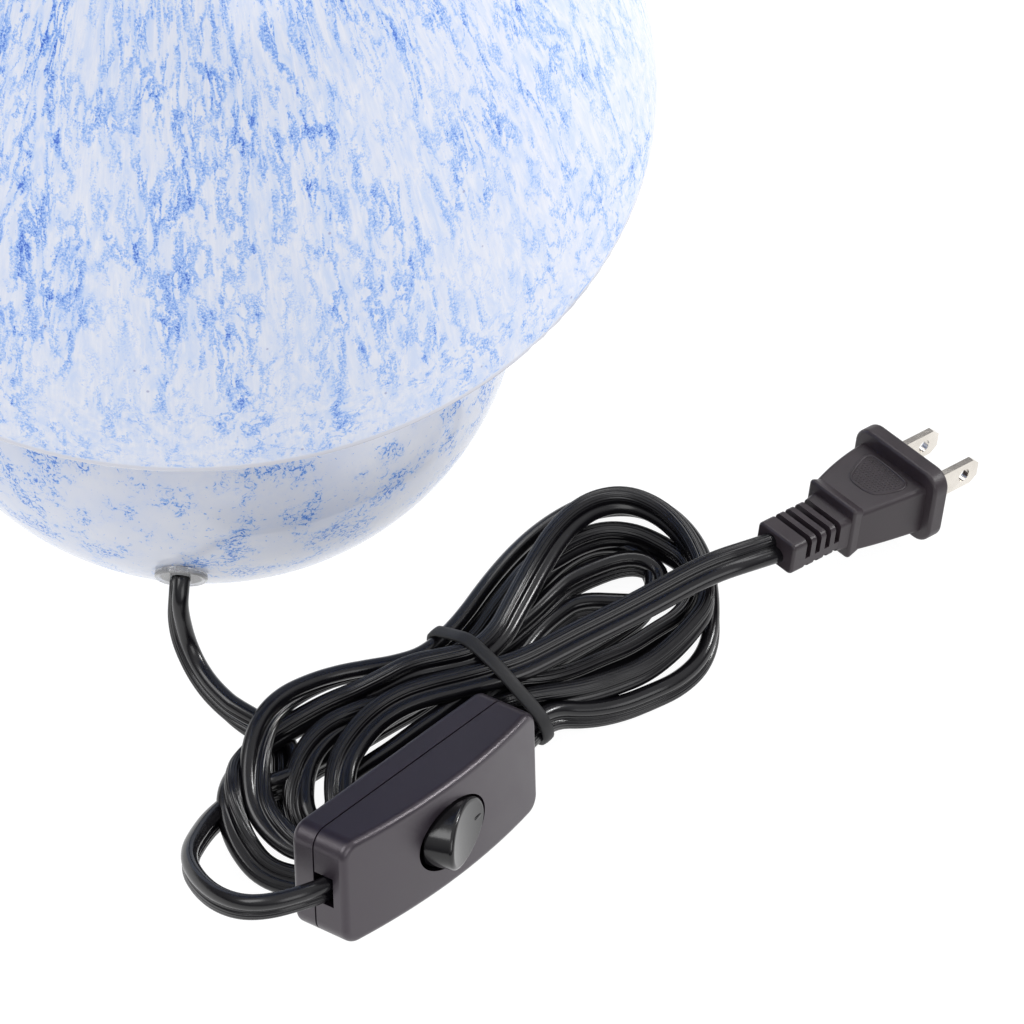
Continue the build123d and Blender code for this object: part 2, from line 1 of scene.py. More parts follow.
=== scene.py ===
import bpy, bmesh, math
import numpy as np
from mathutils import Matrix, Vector


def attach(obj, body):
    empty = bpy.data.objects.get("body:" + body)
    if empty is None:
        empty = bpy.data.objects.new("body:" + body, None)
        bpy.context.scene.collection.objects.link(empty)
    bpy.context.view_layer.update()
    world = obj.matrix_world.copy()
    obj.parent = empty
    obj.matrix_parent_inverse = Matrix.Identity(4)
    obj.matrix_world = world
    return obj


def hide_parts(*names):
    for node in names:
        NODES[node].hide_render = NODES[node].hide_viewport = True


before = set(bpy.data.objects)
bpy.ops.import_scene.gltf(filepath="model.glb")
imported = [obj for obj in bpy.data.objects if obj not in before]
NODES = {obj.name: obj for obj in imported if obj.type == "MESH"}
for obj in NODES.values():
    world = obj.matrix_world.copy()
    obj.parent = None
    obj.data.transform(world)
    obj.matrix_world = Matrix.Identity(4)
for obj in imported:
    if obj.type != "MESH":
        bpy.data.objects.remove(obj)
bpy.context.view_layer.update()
scene = bpy.context.scene
MM = 0.001

# ---------------------------------------------------------------------------
# camera
# ---------------------------------------------------------------------------
cam_data = bpy.data.cameras.new("camera")
cam_data.lens = 281.25
cam_data.sensor_width = 36.0
cam_data.clip_start, cam_data.clip_end = 0.05, 30.0
camera = bpy.data.objects.new("camera", cam_data)
camera.location = (0.0683, -1.02965, 1.49836)
camera.rotation_euler = (math.radians(90 - 56.46), 0, 0)
scene.collection.objects.link(camera)
scene.camera = camera
scene.view_settings.view_transform = "Standard"

# ---------------------------------------------------------------------------
# node helpers
# ---------------------------------------------------------------------------


class Mat:
    # a material's node tree with short calls for its nodes
    def __init__(self, name):
        self.m = bpy.data.materials.new(name)
        self.m.use_nodes = True
        self.nt = self.m.node_tree
        self.nt.nodes.clear()
        self.out = self.nt.nodes.new("ShaderNodeOutputMaterial")
        self.b = self.nt.nodes.new("ShaderNodeBsdfPrincipled")
        self.nt.links.new(self.b.outputs[0], self.out.inputs[0])

    def put(self, sock, v):
        if isinstance(v, bpy.types.NodeSocket):
            self.nt.links.new(v, sock)
        elif v is not None:
            sock.default_value = v

    def set(self, **kw):
        for k, v in kw.items():
            self.put(self.b.inputs[k.replace("_", " ")], v)
        return self

    def node(self, kind, **props):
        n = self.nt.nodes.new(kind)
        for k, v in props.items():
            setattr(n, k, v)
        return n

    def pos(self):
        # place in the object, in millimetres
        t = self.node("ShaderNodeTexCoord")
        v = self.node("ShaderNodeVectorMath", operation="SCALE")
        self.nt.links.new(t.outputs["Object"], v.inputs[0])
        v.inputs["Scale"].default_value = 1000.0
        return v.outputs[0]

    def math(self, op, a, b=None, c=None, clamp=False):
        n = self.node("ShaderNodeMath", operation=op, use_clamp=clamp)
        for i, v in enumerate((a, b, c)):
            if v is not None:
                self.put(n.inputs[i], v)
        return n.outputs[0]

    def vmath(self, op, a, b=None):
        n = self.node("ShaderNodeVectorMath", operation=op)
        self.put(n.inputs[0], a)
        if b is not None:
            self.put(n.inputs[3 if op == "SCALE" else 1], b)
        return n.outputs["Value"] if op in ("LENGTH", "DISTANCE", "DOT_PRODUCT") else n.outputs[0]

    def sep(self, v):
        n = self.node("ShaderNodeSeparateXYZ")
        self.put(n.inputs[0], v)
        return n.outputs

    def comb(self, x, y, z):
        n = self.node("ShaderNodeCombineXYZ")
        for i, v in enumerate((x, y, z)):
            self.put(n.inputs[i], v)
        return n.outputs[0]

    def noise(self, v, scale, detail=2.0, rough=0.5, dist=0.0, color=False):
        n = self.node("ShaderNodeTexNoise")
        self.put(n.inputs["Vector"], v)
        self.put(n.inputs["Scale"], scale)
        self.put(n.inputs["Detail"], detail)
        self.put(n.inputs["Roughness"], rough)
        self.put(n.inputs["Distortion"], dist)
        return n.outputs["Color" if color else 0]

    def voronoi(self, v, scale, feature="DISTANCE_TO_EDGE", rnd=1.0, out="Distance"):
        n = self.node("ShaderNodeTexVoronoi", feature=feature)
        self.put(n.inputs["Vector"], v)
        self.put(n.inputs["Scale"], scale)
        self.put(n.inputs["Randomness"], rnd)
        return n.outputs[out]

    def span(self, v, a, b, c=0.0, d=1.0, smooth=True):
        n = self.node("ShaderNodeMapRange", interpolation_type="SMOOTHSTEP" if smooth else "LINEAR")
        self.put(n.inputs["Value"], v)
        for k, x in (("From Min", a), ("From Max", b), ("To Min", c), ("To Max", d)):
            n.inputs[k].default_value = x
        return n.outputs[0]

    def ramp(self, v, stops, interp="LINEAR"):
        n = self.node("ShaderNodeValToRGB")
        e = n.color_ramp.elements
        n.color_ramp.interpolation = interp
        while len(e) < len(stops):
            e.new(0.5)
        for el, (p, col) in zip(e, stops):
            el.position = p
            el.color = (*col, 1.0)
        self.put(n.inputs[0], v)
        return n.outputs[0]

    def mix(self, f, a, b):
        n = self.node("ShaderNodeMix", data_type="RGBA")
        self.put(n.inputs[0], f)
        self.put(n.inputs[6], a if isinstance(a, bpy.types.NodeSocket) else (*a, 1.0))
        self.put(n.inputs[7], b if isinstance(b, bpy.types.NodeSocket) else (*b, 1.0))
        return n.outputs[2]

    def bump(self, h, strength, dist):
        n = self.node("ShaderNodeBump")
        n.inputs["Strength"].default_value = strength
        n.inputs["Distance"].default_value = dist
        self.put(n.inputs["Height"], h)
        self.nt.links.new(n.outputs[0], self.b.inputs["Normal"])


def srgb(r, g, b):
    def f(c):
        c /= 255.0
        return c / 12.92 if c <= 0.04045 else ((c + 0.055) / 1.055) ** 2.4
    return (f(r), f(g), f(b))


def paint(material, *names):
    for n in names:
        me = NODES[n].data
        me.materials.clear()
        me.materials.append(material.m)


def piece(name, verts, faces, material, smooth=True):
    me = bpy.data.meshes.new(name)
    me.from_pydata([tuple(v) for v in verts], [], faces)
    me.validate()
    if smooth:
        me.shade_smooth()
    ob = bpy.data.objects.new(name, me)
    scene.collection.objects.link(ob)
    me.materials.append(material.m)
    return ob


# ---------------------------------------------------------------------------
# materials
# ---------------------------------------------------------------------------


def plastic(name, dark, light, rough, grain_mm, grain, spread=0.08, wear=None):
    # moulded plastic or rubber: fine moulded grain, faint mottling
    m = Mat(name)
    p = m.pos()
    n1 = m.noise(p, 0.09, 3.0, 0.6)
    n2 = m.noise(p, 1.0 / grain_mm, 2.0, 0.6)
    m.set(Base_Color=m.ramp(n1, [(0.3, dark), (0.7, light)]))
    m.set(Roughness=m.span(n1, 0.3, 0.7, rough - spread, rough + spread))
    m.bump(n2, grain, 0.00012)
    return m


def metal(name, dark, light, rough, stretch=(1.0, 1.0, 1.0)):
    # plated or drawn metal: faint drawing lines and tarnish
    m = Mat(name)
    p = m.vmath("MULTIPLY", m.pos(), stretch)
    n1 = m.noise(p, 0.35, 4.0, 0.65)
    n2 = m.noise(m.pos(), 0.12, 3.0, 0.6)
    m.set(Base_Color=m.ramp(n2, [(0.3, dark), (0.7, light)]), Metallic=1.0)
    m.set(Roughness=m.span(n1, 0.25, 0.75, rough - 0.08, rough + 0.1))
    m.bump(n1, 0.08, 0.0001)
    return m


def cap_glass_material():
    # cased opal glass: white ground, blue frit in streaks, rings and grains drawn out along the meridians
    m = Mat("cap_glass_speckle")
    p = m.pos()
    x, y, z = m.sep(p)
    r = m.math("SQRT", m.math("ADD", m.math("MULTIPLY", x, x), m.math("MULTIPLY", y, y)))
    r1 = m.math("MAXIMUM", r, 1.0)
    down = m.math("SUBTRACT", 251.3, z)
    late = m.math("MAXIMUM", m.math("SUBTRACT", down, 124.0), 0.0)
    pz = m.math("ADD", m.math("MULTIPLY", down, 0.30), m.math("MULTIPLY", late, 0.4))
    q = m.comb(m.math("MULTIPLY", m.math("DIVIDE", x, r1), 70.0), m.math("MULTIPLY", m.math("DIVIDE", y, r1), 70.0), pz)

    def shifted(v, d):
        return m.vmath("ADD", v, d)

    def centred(v, scale, detail, amount):
        return m.vmath("SCALE", m.vmath("SUBTRACT", m.noise(v, scale, detail, 0.6, color=True), (0.5, 0.5, 0.5)), amount)

    q1 = m.vmath("ADD", q, centred(q, 0.13, 2.0, 5.0))
    q2 = m.vmath("ADD", q1, centred(p, 1.1, 2.0, 0.9))
    dens = m.span(m.noise(q1, 0.11, 2.0, 0.5), 0.34, 0.64, 0.34, 1.0)
    side = m.math("MULTIPLY", m.span(m.math("SUBTRACT", x, m.math("MULTIPLY", z, 0.5)), -190.0, 10.0, 1.04, 0.76), m.span(z, 116.0, 190.0, 0.86, 1.12))
    dens = m.math("MULTIPLY", dens, side)
    # rings: level lines of a stretched field; nets: cell walls
    f1 = m.noise(shifted(q2, (3.0, 11.0, 29.0)), 0.36, 3.0, 0.55)
    rings = m.span(m.math("ABSOLUTE", m.math("SUBTRACT", f1, 0.5)), 0.008, 0.06, 1.0, 0.0)
    nets = m.span(m.voronoi(shifted(q2, (31.0, 7.0, 3.0)), 0.46), 0.015, 0.17, 1.0, 0.0)
    pick = m.span(m.noise(shifted(q1, (50.0, 9.0, 70.0)), 0.4, 2.0, 0.5), 0.36, 0.6)
    dabs = m.span(m.noise(shifted(q2, (5.0, 5.0, 60.0)), 0.50, 4.0, 0.62), 0.50, 0.72)
    grain = m.span(m.noise(p, 2.2, 3.0, 0.75), 0.36, 0.64, 0.25, 1.0)
    lines = m.math("MULTIPLY", m.math("MAXIMUM", m.math("MULTIPLY", rings, 0.9), m.math("MULTIPLY", nets, 0.75)), pick)
    mark = m.math("MULTIPLY", m.math("MULTIPLY", m.math("ADD", lines, dabs), grain), dens, clamp=True)
    # the frit gathers into a thin line just above the clear edge
    line = m.math("MULTIPLY", m.span(m.math("ABSOLUTE", m.math("SUBTRACT", z, 112.6)), 0.1, 0.5, 1.0, 0.0),
                  m.span(m.noise(p, 0.16, 3.0, 0.6), 0.5, 0.66))
    edge = m.span(z, 111.5, 112.4, 0.0, 1.0)
    t = m.math("MAXIMUM", m.math("MULTIPLY", mark, edge), m.math("MULTIPLY", line, 0.35), clamp=True)
    # pale wash with fine drawn lines
    wash = m.math("MULTIPLY", m.span(m.noise(q1, 0.55, 5.0, 0.65), 0.36, 0.68), m.span(m.noise(q, 0.12, 2.0, 0.5), 0.3, 0.65, 0.35, 1.0))
    hair = m.noise(m.vmath("MULTIPLY", q, (1.0, 1.0, 0.22)), 1.9, 3.0, 0.6)
    ground = m.ramp(hair, [(0.3, srgb(214, 220, 235)), (0.55, srgb(221, 225, 236)), (0.75, srgb(229, 231, 238))])
    ground = m.mix(m.math("MULTIPLY", wash, 0.75), ground, srgb(188, 206, 237))
    ground = m.mix(edge, srgb(206, 208, 218), ground)
    blue = m.ramp(t, [(0.0, srgb(194, 210, 239)), (0.3, srgb(166, 193, 237)), (0.65, srgb(120, 159, 228)), (1.0, srgb(70, 110, 204))])
    dots = m.math("MULTIPLY", m.span(m.voronoi(p, 0.13, feature="F1"), 0.03, 0.055, 1.0, 0.0), 0.5)
    col = m.mix(dots, m.mix(m.span(t, 0.02, 0.3), ground, blue), srgb(110, 112, 170))
    m.set(Base_Color=col, IOR=1.48)
    m.b.inputs["Specular IOR Level"].default_value = 0.35
    m.set(Roughness=m.span(hair, 0.3, 0.7, 0.12, 0.22))
    m.bump(m.noise(q1, 0.12, 2.0, 0.5), 0.12, 0.0006)
    return m


def base_glass_material():
    # the same glass with the frit in loose clusters of grains on a plainer ground
    m = Mat("base_glass_speckle")
    p = m.pos()
    q = m.vmath("ADD", p, m.vmath("SCALE", m.vmath("SUBTRACT", m.noise(p, 0.3, 2.0, 0.6, color=True), (0.5, 0.5, 0.5)), 4.0))
    field = m.noise(q, 0.11, 4.0, 0.62)
    patch = m.span(field, 0.46, 0.62)
    e = m.span(m.voronoi(q, 0.55), 0.01, 0.22, 1.0, 0.0)
    grain = m.span(m.noise(q, 1.1, 4.0, 0.72), 0.42, 0.6)
    speck = m.span(m.noise(p, 0.8, 4.0, 0.7), 0.52, 0.66)
    t = m.math("MULTIPLY", patch, m.math("MAXIMUM", m.math("MULTIPLY", e, grain), m.math("MULTIPLY", speck, 0.9)), clamp=True)
    loose = m.math("MULTIPLY", m.span(m.noise(q, 0.9, 3.0, 0.66), 0.61, 0.73), 0.5)
    t = m.math("MAXIMUM", t, loose)
    haze = m.noise(p, 0.05, 3.0, 0.6)
    white = m.ramp(haze, [(0.3, srgb(208, 215, 232)), (0.55, srgb(218, 222, 233)), (0.75, srgb(225, 228, 236))])
    white = m.mix(m.math("MULTIPLY", m.span(field, 0.38, 0.62), 0.5), white, srgb(196, 209, 236))
    blue = m.ramp(t, [(0.0, srgb(190, 207, 239)), (0.4, srgb(140, 178, 233)), (1.0, srgb(70, 118, 210))])
    m.set(Base_Color=m.mix(m.span(t, 0.04, 0.4), white, blue), IOR=1.48)
    m.set(Roughness=m.span(haze, 0.3, 0.7, 0.12, 0.2))
    m.bump(m.noise(p, 0.05, 2.0, 0.5), 0.1, 0.0006)
    return m


def clear_material(name, tint, rough, trans):
    m = Mat(name)
    p = m.pos()
    n = m.noise(p, 0.5, 3.0, 0.6)
    m.set(Base_Color=m.ramp(n, [(0.3, tint), (0.7, tuple(min(1.0, c * 1.05) for c in tint))]), IOR=1.46, Transmission_Weight=trans)
    m.set(Roughness=m.span(n, 0.3, 0.7, rough, rough + 0.12))
    m.bump(n, 0.06, 0.0002)
    return m


cap_glass = cap_glass_material()
base_glass = base_glass_material()
cord_pvc = plastic("cord_pvc", srgb(9, 8, 11), srgb(16, 15, 19), 0.22, 0.5, 0.04, 0.04)
shell_plastic = plastic("switch_moulding", srgb(28, 22, 30), srgb(34, 27, 36), 0.33, 0.16, 0.22, 0.04)
shell_plastic.b.inputs["Specular Tint"].default_value = (1.0, 0.93, 0.99, 1.0)
# painted shade: faces turned up along the top-face normal get a lower specular level, so the top face reflects less and
# renders darker than its edges and front
_n = shell_plastic.sep(shell_plastic.node("ShaderNodeNewGeometry").outputs["Normal"])
_up_facing_shade = shell_plastic.math("ADD", shell_plastic.math("MULTIPLY", _n[1], 0.398), shell_plastic.math("MULTIPLY", _n[2], 0.917))
shell_plastic.set(Specular_IOR_Level=shell_plastic.span(_up_facing_shade, 0.80, 0.97, 0.9, 0.36))
rocker_plastic = plastic("rocker_moulding", srgb(16, 15, 17), srgb(22, 21, 23), 0.18, 0.4, 0.04, 0.04)
plug_pvc = plastic("plug_pvc", srgb(40, 33, 38), srgb(49, 41, 46), 0.42, 0.18, 0.2, 0.05)
rubber = plastic("rubber_black", srgb(20, 20, 22), srgb(30, 30, 32), 0.6, 0.3, 0.18)
phenolic = plastic("phenolic", srgb(24, 22, 21), srgb(36, 33, 31), 0.35, 0.4, 0.08)
white_plastic = plastic("white_moulding", srgb(232, 231, 226), srgb(241, 240, 236), 0.45, 0.3, 0.06)
silicone = plastic("silicone", srgb(214, 214, 212), srgb(228, 228, 226), 0.5, 0.4, 0.08)
zinc = metal("zinc_plate", (0.52, 0.52, 0.51), (0.66, 0.66, 0.64), 0.32)
brass = metal("brass", (0.62, 0.44, 0.17), (0.78, 0.58, 0.26), 0.28)
nickel = metal("nickel", (0.66, 0.62, 0.56), (0.80, 0.76, 0.70), 0.22, (0.3, 1.0, 1.0))
clear_pvc = clear_material("clear_pvc", (0.96, 0.97, 0.98), 0.10, 0.75)
bulb_glass = clear_material("frosted_bulb", (0.93, 0.93, 0.91), 0.45, 0.55)

paint(cap_glass, "cap_glass")
paint(base_glass, "base_glass")
paint(clear_pvc, "cord_grommet", "bumper_feet")
paint(rubber, "neck_gasket", "bar_sleeves")
paint(silicone, "carrier_tips")
paint(zinc, "neck_cap", "cap_carrier", "cross_bar", "carrier_screws", "carrier_nuts", "nipple_nut", "nipple_washer",
      "threaded_nipple", "bar_spacer", "switch_screws", "rocker_pin")
paint(brass, "socket_base", "socket_screw_shell", "socket_centre_contact", "socket_terminal_screws", "bulb_tip",
      "switch_contacts", "contact_seesaw")
paint(nickel, "bulb_screw_cap", "plug_blades")
paint(phenolic, "socket_insulator", "bulb_insulator")
paint(bulb_glass, "bulb_envelope")
paint(white_plastic, "bulb_light_engine")
paint(shell_plastic, "switch_front_shell", "switch_back_shell")
paint(rocker_plastic, "switch_rocker")
paint(plug_pvc, "plug_body")
paint(cord_pvc, "cord_inner")

# ---------------------------------------------------------------------------
# cords: route points in millimetres, and the lean of the flat side in degrees
# ---------------------------------------------------------------------------
CORD_A = [
    (-4.7, -68.4, 22.4, -20), (-5.0, -71.2, 21.3, -20), (-5.2, -73.0, 17.6, -19), (-5.0, -74.4, 13.2, -18),
    (-4.3, -76.2, 9.2, -17), (-2.9, -78.8, 6.4, -16), (-0.9, -82.2, 4.7, -15), (1.9, -86.2, 3.9, -14),
    (6.0, -90.6, 3.6, -14), (10.7, -94.3, 3.5, -34), (15.8, -97.6, 3.3, -52), (18.8, -102.0, 3.0, -70),
    (18.7, -108.7, 3.1, -70), (19.3, -115.0, 3.2, -52), (21.6, -119.6, 3.4, -36), (22.7, -126.1, 3.4, -26),
    (29.2, -125.6, 3.5, -22), (29.5, -113.5, 3.6, -20), (35.2, -108.5, 4.8, -16), (42.1, -104.2, 6.3, -12),
    (48.1, -99.8, 8.0, -9), (53.3, -96.3, 9.0, -8), (57.3, -92.6, 9.6, -8), (62.0, -89.2, 9.7, -8),
    (65.8, -84.2, 7.6, -9), (69.9, -79.7, 5.4, -10), (73.7, -73.0, 4.3, -12), (78.3, -67.7, 3.6, -13),
    (83.4, -63.6, 3.6, -12), (93.2, -64.0, 3.5, -9), (100.1, -64.2, 3.8, -3), (102.2, -56.5, 4.6, 4),
    (95.1, -52.7, 5.8, 9), (81.9, -59.2, 6.6, 14), (77.9, -63.8, 7.3, 17), (74.1, -68.8, 8.2, 17), (70.4, -73.0, 9.0, 15),
    (66.1, -77.9, 9.9, 13), (60.5, -81.5, 10.0, 11), (55.9, -84.7, 6.4, 4), (47.4, -90.2, 3.3, -2),
    (42.7, -93.4, 3.6, -4), (37.2, -97.2, 3.5, -4), (31.8, -101.1, 3.5, -2), (26.9, -104.9, 4.0, 2),
    (22.1, -109.7, 6.1, 8), (17.4, -113.3, 7.9, 20), (12.8, -113.3, 5.0, 16), (8.6, -114.5, 3.9, 12),
    (5.0, -118.6, 5.2, 9), (2.2, -123.6, 8.2, 6), (0.2, -129.4, 12.0, 4), (-1.3, -135.6, 16.2, 3),
    (-1.1, -141.8, 20.2, 1), (1.3, -148.4, 24.4, -1), (5.2, -154.4, 28.4, -2), (10.5, -158.6, 32.0, -2),
    (16.4, -159.6, 33.9, -1), (22.8, -157.9, 34.3, 0), (28.2, -154.8, 32.8, 0), (29.6, -153.1, 32.2, 0),
]

CORD_B = [
    (68.0, -108.5, 13.7, -29), (71.6, -102.2, 11.3, -27), (77.3, -94.6, 7.5, -21), (85.3, -93.1, 4.6, -15),
    (92.7, -90.6, 3.3, -11), (99.3, -87.7, 3.7, -9), (105.1, -84.5, 3.6, -7), (110.0, -79.4, 3.6, -6),
    (112.4, -72.9, 3.6, -4), (112.7, -65.4, 3.7, 0), (112.2, -58.4, 3.6, 3), (110.9, -51.6, 3.6, 5),
    (107.9, -45.4, 3.6, 6), (103.5, -40.4, 3.6, 6), (97.8, -36.8, 3.6, 6), (91.1, -36.3, 3.6, 6), (84.4, -38.2, 3.9, 6),
    (78.6, -42.2, 4.5, 6), (73.5, -46.9, 5.1, 6), (69.1, -52.3, 5.9, 7), (65.2, -58.1, 6.9, 7), (61.6, -64.0, 7.6, 7),
    (58.0, -70.1, 8.1, 4), (53.8, -75.6, 8.5, -4), (48.5, -81.1, 9.2, -12), (41.8, -83.3, 9.4, -18),
    (35.0, -84.2, 9.0, -20), (28.7, -86.2, 9.4, -14), (23.0, -89.5, 10.4, -2), (17.8, -93.9, 11.8, 14),
    (14.1, -99.6, 12.6, 34), (12.3, -106.0, 11.4, 56), (12.0, -112.7, 10.1, 78), (13.1, -119.9, 9.2, 100),
    (17.4, -126.1, 8.5, 122), (23.1, -130.3, 8.7, 148), (30.7, -128.2, 10.1, 155), (36.1, -123.8, 12.3, 158),
    (40.7, -119.0, 14.3, 160), (46.1, -114.5, 15.3, 160), (50.9, -109.4, 15.5, 161), (54.7, -103.5, 15.3, 162),
    (59.8, -98.8, 14.5, 164), (65.4, -96.1, 11.4, 167), (71.1, -92.4, 9.4, 170), (78.1, -91.2, 9.4, 170),
    (84.9, -89.9, 9.4, 170), (91.4, -87.1, 8.8, 169), (97.7, -84.1, 8.8, 170), (103.4, -79.4, 9.5, 171),
    (107.9, -74.5, 10.6, 174), (111.5, -69.4, 12.1, 178), (111.0, -62.4, 12.8, 182), (108.9, -55.7, 12.8, 185),
    (105.5, -49.5, 12.9, 188), (100.5, -44.6, 13.3, 191), (93.7, -42.4, 14.4, 196), (86.9, -44.4, 15.6, 203),
    (81.5, -48.9, 16.1, 211), (77.3, -54.5, 15.6, 218), (74.0, -60.7, 15.1, 222), (71.1, -67.1, 15.2, 223),
    (68.3, -73.5, 15.7, 222), (65.5, -79.9, 16.2, 218), (60.6, -85.1, 16.3, 213), (53.6, -86.3, 15.6, 207),
    (46.5, -87.6, 15.4, 202), (40.4, -89.5, 12.5, 199), (34.2, -91.2, 9.6, 198), (27.6, -93.4, 8.2, 198),
    (21.9, -96.6, 7.5, 197), (16.5, -100.1, 7.3, 194), (11.3, -103.8, 6.5, 186), (7.4, -109.3, 7.9, 172),
    (6.3, -116.0, 10.0, 148), (7.3, -122.6, 8.4, 124), (10.0, -128.5, 6.3, 112), (14.3, -133.6, 4.9, 114),
    (21.0, -135.5, 3.7, 120), (28.1, -135.3, 3.8, 130), (34.3, -132.0, 4.9, 142), (39.0, -127.2, 7.0, 142),
    (43.1, -121.9, 8.9, 138), (47.2, -116.1, 9.1, 133), (51.3, -110.5, 9.2, 134), (55.7, -105.0, 9.2, 143),
    (59.3, -99.0, 9.1, 154), (62.9, -93.0, 10.0, 163), (68.7, -89.0, 10.4, 167), (75.7, -87.8, 9.1, 168),
    (82.0, -85.2, 8.2, 168), (88.1, -81.7, 7.7, 168), (94.3, -78.4, 7.2, 169), (99.7, -73.9, 6.8, 171),
    (106.0, -69.1, 6.5, 175), (108.6, -62.3, 6.2, 179), (107.7, -54.6, 6.2, 183), (101.4, -50.0, 6.4, 186),
    (95.5, -47.9, 7.6, 189), (89.0, -48.2, 9.0, 191), (82.8, -51.0, 9.7, 192), (77.9, -54.7, 10.0, 192),
    (72.3, -58.4, 9.9, 192), (68.1, -63.9, 9.2, 191), (64.0, -69.4, 7.8, 190), (60.1, -75.1, 6.2, 190),
    (55.2, -80.1, 6.9, 190), (50.3, -84.4, 9.8, 194), (45.7, -90.4, 9.1, 201), (39.5, -93.8, 8.7, 209),
    (33.4, -96.6, 9.1, 216), (27.9, -100.0, 9.2, 223), (23.8, -105.2, 8.8, 232), (21.7, -111.6, 8.3, 249),
    (21.6, -118.6, 7.3, 292), (24.2, -123.4, 5.4, 313), (31.1, -126.6, 3.8, 321), (38.2, -125.6, 3.3, 326),
    (44.2, -121.9, 3.3, 331), (49.1, -116.9, 3.5, 338), (53.4, -111.3, 3.6, 346), (57.5, -105.6, 3.6, 351),
    (61.7, -100.0, 3.6, 352), (65.2, -94.0, 3.6, 352), (69.1, -88.2, 3.6, 350), (74.0, -83.2, 3.6, 348),
    (79.5, -78.9, 3.6, 346), (85.4, -75.0, 3.6, 345), (91.1, -71.0, 3.6, 346), (96.5, -66.5, 3.6, 349),
    (100.2, -60.3, 3.6, 354), (99.0, -53.0, 3.7, 361), (93.1, -48.7, 3.6, 367), (85.9, -49.3, 3.6, 371),
    (80.0, -53.3, 3.6, 373), (75.3, -58.5, 3.6, 374), (71.6, -64.5, 3.6, 374), (68.2, -70.6, 3.6, 373),
    (64.6, -76.6, 3.6, 373), (62.2, -83.2, 3.6, 373), (61.1, -90.1, 3.6, 374), (59.5, -97.0, 3.6, 375),
    (55.6, -102.8, 3.6, 374), (51.1, -108.2, 3.4, 376), (46.0, -113.0, 4.3, 382), (41.2, -117.6, 6.0, 393),
    (39.5, -123.5, 7.0, 404), (32.2, -125.0, 9.0, 426), (30.6, -117.6, 10.3, 443), (31.0, -110.0, 11.0, 461),
    (33.9, -103.9, 11.7, 471), (38.3, -98.5, 12.5, 478), (44.2, -94.5, 13.3, 481), (50.9, -92.5, 14.2, 482),
    (57.7, -91.3, 15.3, 482), (64.5, -89.7, 16.1, 481), (71.1, -87.6, 16.7, 480), (77.3, -84.4, 17.6, 480),
    (83.5, -81.1, 18.4, 479), (89.7, -78.1, 19.3, 479), (95.9, -75.0, 20.3, 479), (102.0, -71.8, 21.4, 479),
    (108.1, -68.4, 22.3, 480), (114.2, -66.0, 23.6, 480), (120.4, -63.4, 23.2, 480), (127.4, -59.0, 20.5, 480),
]


def route(name, pts, res=6):
    # the route's NURBS line, and the lean carried along it
    cu = bpy.data.curves.new(name + "_route", "CURVE")
    cu.dimensions = "3D"
    sp = cu.splines.new("NURBS")
    sp.points.add(len(pts) - 1)
    for p, c in zip(sp.points, pts):
        p.co = (c[0] * MM, c[1] * MM, c[2] * MM, 1.0)
    sp.order_u = 3
    sp.use_endpoint_u = True
    sp.resolution_u = res
    ob = bpy.data.objects.new(name + "_route", cu)
    scene.collection.objects.link(ob)
    bpy.context.view_layer.update()
    me = bpy.data.meshes.new_from_object(ob)
    line = np.array([v.co for v in me.vertices], float)
    bpy.data.meshes.remove(me)
    bpy.data.objects.remove(ob)
    bpy.data.curves.remove(cu)
    n = len(pts)
    at = np.array([0.0] + [i - 0.5 for i in range(1, n - 1)] + [n - 2.0])
    lean = np.interp(np.linspace(0, n - 2, len(line)), at, np.radians([c[3] for c in pts]))
    return line, lean


def twin_section():
    # two insulated conductors side by side with a web between; one of them is ribbed
    out = []
    for k in range(19):
        a = math.radians(-132 + 264 * k / 18)
        out.append((1.66 + 1.84 * math.cos(a), 1.84 * math.sin(a)))
    out.append((0.0, 1.02))
    for k in range(53):
        a = math.radians(48 + 264 * k / 52)
        rr = 1.80 + 0.07 * math.cos(13 * (a - math.pi) * 360 / 264)
        out.append((-1.66 + rr * math.cos(a), rr * math.sin(a)))
    out.append((0.0, -1.02))
    return np.array(out) * MM


def flat_cord(name, pts, material):
    line, lean = route(name, pts)
    t = np.gradient(line, axis=0)
    t /= np.linalg.norm(t, axis=1)[:, None]
    e1 = np.cross((0, 0, 1.0), t)
    e1 /= np.linalg.norm(e1, axis=1)[:, None]
    e2 = np.cross(t, e1)
    nn = np.cos(lean)[:, None] * e1 + np.sin(lean)[:, None] * e2
    ww = np.cross(t, nn)
    sec = twin_section()
    k, m = len(line), len(sec)
    v = (line[:, None, :] + sec[None, :, 0, None] * ww[:, None, :] + sec[None, :, 1, None] * nn[:, None, :]).reshape(-1, 3)
    f = []
    for i in range(k - 1):
        for j in range(m):
            a, b = i * m + j, i * m + (j + 1) % m
            f.append((a, b, b + m, a + m))
    f.append(tuple(range(m - 1, -1, -1)))
    f.append(tuple(range((k - 1) * m, k * m)))
    ob = piece(name, v, f, material)
    return ob, line, v.reshape(k, m, 3)


cord_a, line_a, skin_a = flat_cord("lamp_cord", CORD_A, cord_pvc)
cord_b, line_b, skin_b = flat_cord("plug_cord", CORD_B, cord_pvc)
for ob, gone in ((cord_a, ("cord_lamp_lead", "cord_switch_lead")), (cord_b, ("cord_switch_out", "cord_plug_lead", "cord_hank"))):
    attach(ob, "lamp")
    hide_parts(*gone)

